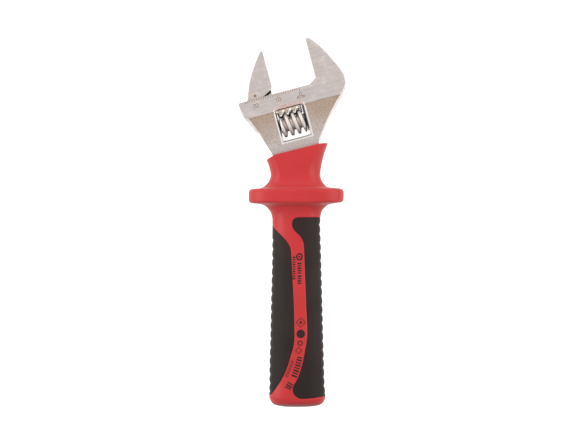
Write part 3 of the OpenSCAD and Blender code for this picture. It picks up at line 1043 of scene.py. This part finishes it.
# The scale on the head: its zero, the deck that its lines start from, and its numbers
SCALE_ZERO = 6.65
DECK = 15.0
LAST_LINE = 24
LINE_WIDTH = 0.22
NUMBERS_V = 12.2
DIGIT_HEIGHT, DIGIT_WIDTH, DIGIT_ASIDE = 1.7, 0.23, 0.65
ETCH_LIFT = 0.02
INDEX_AT, INDEX_RADIUS = (-12.6, 16.35), 0.62


def face_height(x, y):
    """Height of the head's front face, which is flat."""
    return FACE


def opening_scale():
    """The millimetre scale below the deck, and the index on the sliding jaw."""
    scale = Marks(face_height, ETCH_LIFT)
    for k in range(LAST_LINE + 1):
        long = 1.5 if k % 10 == 0 else 1.3 if k % 5 == 0 else 1.05
        x = SCALE_ZERO - k
        scale.stroke(bar((x, DECK), (x, DECK - long)), LINE_WIDTH)
    for tens in (1, 2):
        x = SCALE_ZERO - 10 * tens - 0.1
        for digit, aside in ((tens, -DIGIT_ASIDE), (0, DIGIT_ASIDE)):
            numeral(scale, digit, (x + aside, NUMBERS_V), DIGIT_HEIGHT, DIGIT_WIDTH)
    numeral(scale, 0, (SCALE_ZERO - 0.1, NUMBERS_V - 0.05), 1.6, LINE_WIDTH)
    for x in (4.85, 6.95):
        letter_m(scale, (x, 10.75), 1.15, 0.21)
    scale.piece("opening_scale", on_head, "handle", "ground_steel", ETCH)
    index = Marks(face_height, ETCH_LIFT)
    index.disc(INDEX_AT, INDEX_RADIUS)
    index.piece("index_dot", on_head, "sliding_jaw", "ground_steel", ETCH)


def front_height(x, y):
    """Height of the handle's front at x, y."""
    outline = section(y)
    return float(np.interp(-x, -outline[:, 0], outline[:, 1]))


def stripe_middle(y):
    """The middle of the red stripe at y."""
    return float((line_x(LEFT_LINE, y) + line_x(RIGHT_LINE, y)) / 2)


PRINT_LIFT = 0.05
RING_AT = (1.4, -15)
# Bars beside the ring: y, width
UPPER_BARS = [(-17.9, 0.7), (-18.9, 0.5), (-19.95, 0.75), (-21.0, 0.6), (-22.0, 0.5), (-23.4, 0.75),
              (-24.4, 0.5), (-25.4, 0.7), (-26.4, 0.55)]
UPPER_BARS_X = (0.6, 2.15)
SMALL_BARS_X = (-1.6, -0.4)
# Outlined squares on the stripe: y, half size
SQUARES = [(-43.3, 2.0), (-55.4, 1.35)]
LOWER_BARS = (-58.2, -59.3, -60.4, -61.5, -62.6, -63.7, -64.8, -65.9, -69.0, -70.0, -70.9)


def handle_print():
    """Plain bars, rings, squares and dots on the red stripe, as one printed piece."""
    marks = Marks(front_height, PRINT_LIFT)
    marks.stroke(arc(RING_AT, (1.15, 1.3), 0, 342, 19), 0.6, closed=True)
    marks.disc(RING_AT, 0.42)
    low, high = UPPER_BARS_X
    for y, width in UPPER_BARS:
        marks.stroke(bar((low, y), (high, y), 3), width)
    low, high = SMALL_BARS_X
    for k, y in enumerate(np.arange(-15.2, -25.4, -1.02)):
        marks.stroke(bar((low, y), (high, y), 3), 0.5 if k % 3 else 0.65)
    lower_print(marks)
    marks.piece("handle_print", on_handle, "handle", "black_grip", PRINT)


def lower_print(marks):
    """Outlined squares, a dot and a ring, then a row of bars which bends with the stripe."""
    for y, half in SQUARES:
        x = stripe_middle(y)
        corners = [(x + half, y), (x, y + half), (x - half, y), (x, y - half)]
        marks.stroke(corners, 0.26, closed=True)
    marks.disc((1.95, -43.3), 0.6)
    marks.disc((1.95, -48.2), 1.85)
    marks.stroke(arc((1.7, -52.2), (0.95, 0.95), 0, 342, 19), 0.45, closed=True)
    for k, y in enumerate(LOWER_BARS):
        cross_bar(marks, y, 0.0, 0.78, 0.75 if k % 2 else 0.55)
    for y in np.arange(-60.4, -68.0, -0.85):
        cross_bar(marks, y, -0.75, -0.3, 0.34)


def cross_bar(marks, y, low, high, width):
    """A bar over part of the stripe's half width, square to its bent middle line."""
    half = 0.5 * (line_x(RIGHT_LINE, y) - line_x(LEFT_LINE, y))
    slope = stripe_middle(y + 0.5) - stripe_middle(y - 0.5)
    across = np.array([1.0, -slope]) / math.hypot(1, slope)
    middle = np.array([stripe_middle(y), y])
    marks.stroke(bar(middle + across * half * low, middle + across * half * high, 2), width)


ARROW_LIFT = 0.08
ARROW_CENTRE = np.array([-0.5, -63.3])
ARROW_RADIUS = 8.6
ARROW_ENDS = (-40, -72)
ARROW_HALF = 0.45
ARROW_HEAD_HALF, ARROW_HEAD_LENGTH = 1.15, 2.2


def grip_arrow():
    """A faint raised outline of a bent arrow on the right grip."""
    marks = Marks(front_height, ARROW_LIFT)
    tail, neck = ARROW_ENDS
    outer = arc(ARROW_CENTRE, (ARROW_RADIUS + ARROW_HALF,) * 2, tail, neck, 8)
    inner = arc(ARROW_CENTRE, (ARROW_RADIUS - ARROW_HALF,) * 2, neck, tail, 8)
    turn = math.radians(neck)
    along = np.array([math.sin(turn), -math.cos(turn)])
    out = np.array([math.cos(turn), math.sin(turn)])
    foot = ARROW_CENTRE + out * ARROW_RADIUS
    head = [foot + out * ARROW_HEAD_HALF, foot + along * ARROW_HEAD_LENGTH,
            foot - out * ARROW_HEAD_HALF]
    marks.stroke([*outer, *head, *inner], LINE_WIDTH, closed=True)
    marks.piece("grip_arrow", on_handle, "handle", "black_grip", PRINT)


# ---- Camera, floor and light ----


FLOOR_HALF = 3.0
FLOOR_LEVEL = -0.0002
# Strength of the floor's white where the camera sees it, and where it only lights the wrench
FLOOR_SEEN = 0.8
FLOOR_GLOW = 0.42
LAMP_TARGET = (0, 0, 0.01)
LAMP_SIZE = (0.9, 0.4)
# Lamps: name, place, power
LAMPS = [
    ("light_top", (0.0, 0.62, 0.36), 1.7),
    ("light_left", (-0.62, 0.1, 0.34), 5.4),
    ("light_right", (0.62, 0.1, 0.34), 4.4),
]
SKY_COLOUR = (1.0, 0.985, 0.975, 1)
# The surround's strength against the height of a direction, and its share towards the butt
SKY_BY_HEIGHT = (0.1, 0.95, 0.6, 1.05)
SKY_BY_LENGTH = (-0.9, -0.1, 0.85, 1.0)
CAMERA_AWAY = 1.5
CAMERA_SENSOR = 36.0
FRAME_WIDTH = 0.2535
FRAME_MIDDLE = (0.00048, -0.00056)


def link(piece):
    bpy.context.scene.collection.objects.link(piece)
    return piece


def lamp(name, where, power):
    """An area light that looks at the wrench."""
    light = bpy.data.lights.new(name, "AREA")
    light.shape = "RECTANGLE"
    light.size, light.size_y = LAMP_SIZE
    light.energy = power
    piece = link(bpy.data.objects.new(name, light))
    piece.location = where
    aim = Vector(LAMP_TARGET) - Vector(where)
    piece.rotation_euler = aim.to_track_quat("-Z", "Y").to_euler()


def stage():
    """A plain white floor, the surround, and soft light from the head's end and both sides."""
    bpy.context.scene.view_settings.view_transform = "Standard"
    mesh = bpy.data.meshes.new("floor")
    corners = [(x * FLOOR_HALF, y * FLOOR_HALF, FLOOR_LEVEL)
               for x, y in ((-1, -1), (1, -1), (1, 1), (-1, 1))]
    mesh.from_pydata(corners, [], [(0, 1, 2, 3)])
    floor = link(bpy.data.objects.new("floor", mesh))
    pale = Shader("floor_white", Roughness=0.9, Specular_IOR_Level=0.0)
    pale.surface.inputs["Base Color"].default_value = (0.5, 0.5, 0.5, 1)
    pale.surface.inputs["Emission Color"].default_value = (1, 1, 1, 1)
    seen = pale.tree.nodes.new("ShaderNodeLightPath").outputs["Is Camera Ray"]
    glow = pale.between(seen, 0, 1, FLOOR_GLOW, FLOOR_SEEN)
    pale.feed(pale.surface.inputs["Emission Strength"], glow)
    mesh.materials.append(pale.material)
    studio()
    for name, where, power in LAMPS:
        lamp(name, where, power)


def sky_range(tree, value, numbers):
    """A value carried from one range to another on the surround's nodes."""
    made = tree.nodes.new("ShaderNodeMapRange")
    tree.links.new(value, made.inputs[0])
    for socket, number in zip(made.inputs[1:], numbers):
        socket.default_value = number
    return made.outputs[0]


def studio():
    """A white surround: bright overhead, dimmer low down and behind the butt, plain where seen."""
    world = bpy.data.worlds.new("studio")
    bpy.context.scene.world = world
    world.use_nodes = True
    tree = world.node_tree
    background = tree.nodes["Background"]
    background.inputs["Color"].default_value = SKY_COLOUR
    place = tree.nodes.new("ShaderNodeTexCoord")
    parts = tree.nodes.new("ShaderNodeSeparateXYZ")
    tree.links.new(place.outputs["Generated"], parts.inputs[0])
    lit = tree.nodes.new("ShaderNodeMath")
    lit.operation = "MULTIPLY"
    tree.links.new(sky_range(tree, parts.outputs["Z"], SKY_BY_HEIGHT), lit.inputs[0])
    tree.links.new(sky_range(tree, parts.outputs["Y"], SKY_BY_LENGTH), lit.inputs[1])
    seen = tree.nodes.new("ShaderNodeLightPath")
    pick = tree.nodes.new("ShaderNodeMix")
    tree.links.new(seen.outputs["Is Camera Ray"], pick.inputs["Factor"])
    tree.links.new(lit.outputs[0], pick.inputs[2])
    pick.inputs[3].default_value = 1.0
    tree.links.new(pick.outputs[0], background.inputs["Strength"])


def camera():
    """Straight down on the wrench's face, from far off."""
    data = bpy.data.cameras.new("camera")
    data.sensor_fit = "HORIZONTAL"
    data.sensor_width = CAMERA_SENSOR
    data.lens = CAMERA_SENSOR * CAMERA_AWAY / FRAME_WIDTH
    data.clip_start, data.clip_end = 0.05, 20
    piece = link(bpy.data.objects.new("camera", data))
    piece.location = (*FRAME_MIDDLE, CAMERA_AWAY + (MIDDLE_HEIGHT + FACE) * MM)
    bpy.context.scene.camera = piece


stage()
camera()
dress("fixed_jaw_body", STEEL)
dress("movable_jaw", JAW_STEEL)
for node_name in ("worm_pin", "worm_spring"):
    dress(node_name, PIN_STEEL)
handle()
worm()
opening_scale()
handle_print()
grip_arrow()
